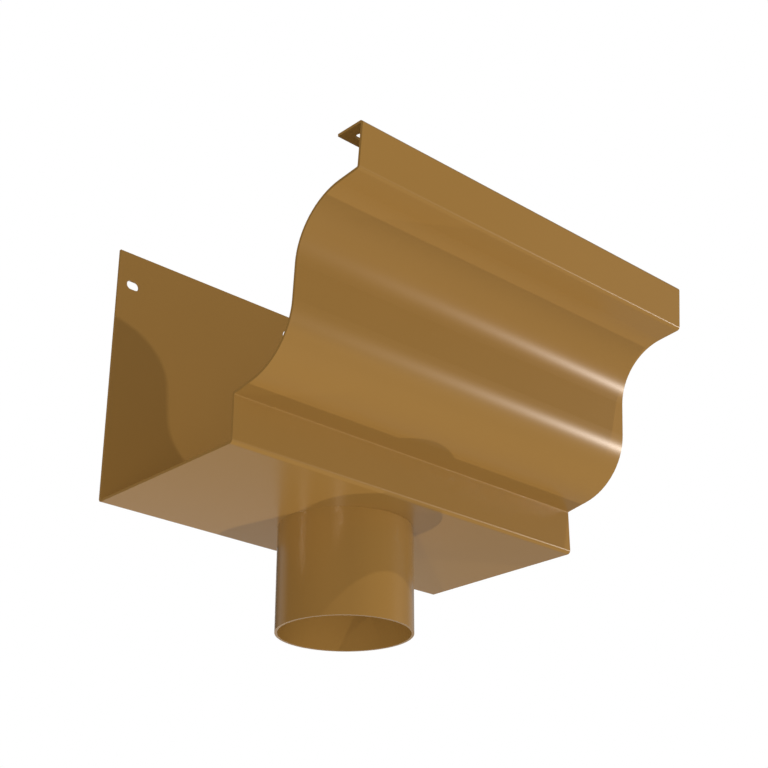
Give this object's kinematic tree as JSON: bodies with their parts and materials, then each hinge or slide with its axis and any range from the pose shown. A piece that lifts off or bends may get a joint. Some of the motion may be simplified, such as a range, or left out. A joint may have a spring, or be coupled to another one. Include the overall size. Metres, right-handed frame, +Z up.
{
  "type": "gutter outlet",
  "caption": "Short length of folded sheet gutter with an ogee front, open at both ends, with a round spigot under its sole for a downpipe.",
  "frame": {"origin": "on the spigot's axis, in the plane of its lower rim", "axes": "+X along the gutter, +Y towards the wall, +Z up"},
  "size_m": [0.25, 0.2078, 0.214],
  "materials": {
    "sheet_coat": "gloss ochre brown powder coat on sheet",
    "spigot_coat": "gloss ochre brown powder coat on tube"
  },
  "bodies": {
    "root": {"gutter_section": "sheet_coat", "outlet_spigot": "spigot_coat"}
  },
  "joints": []
}
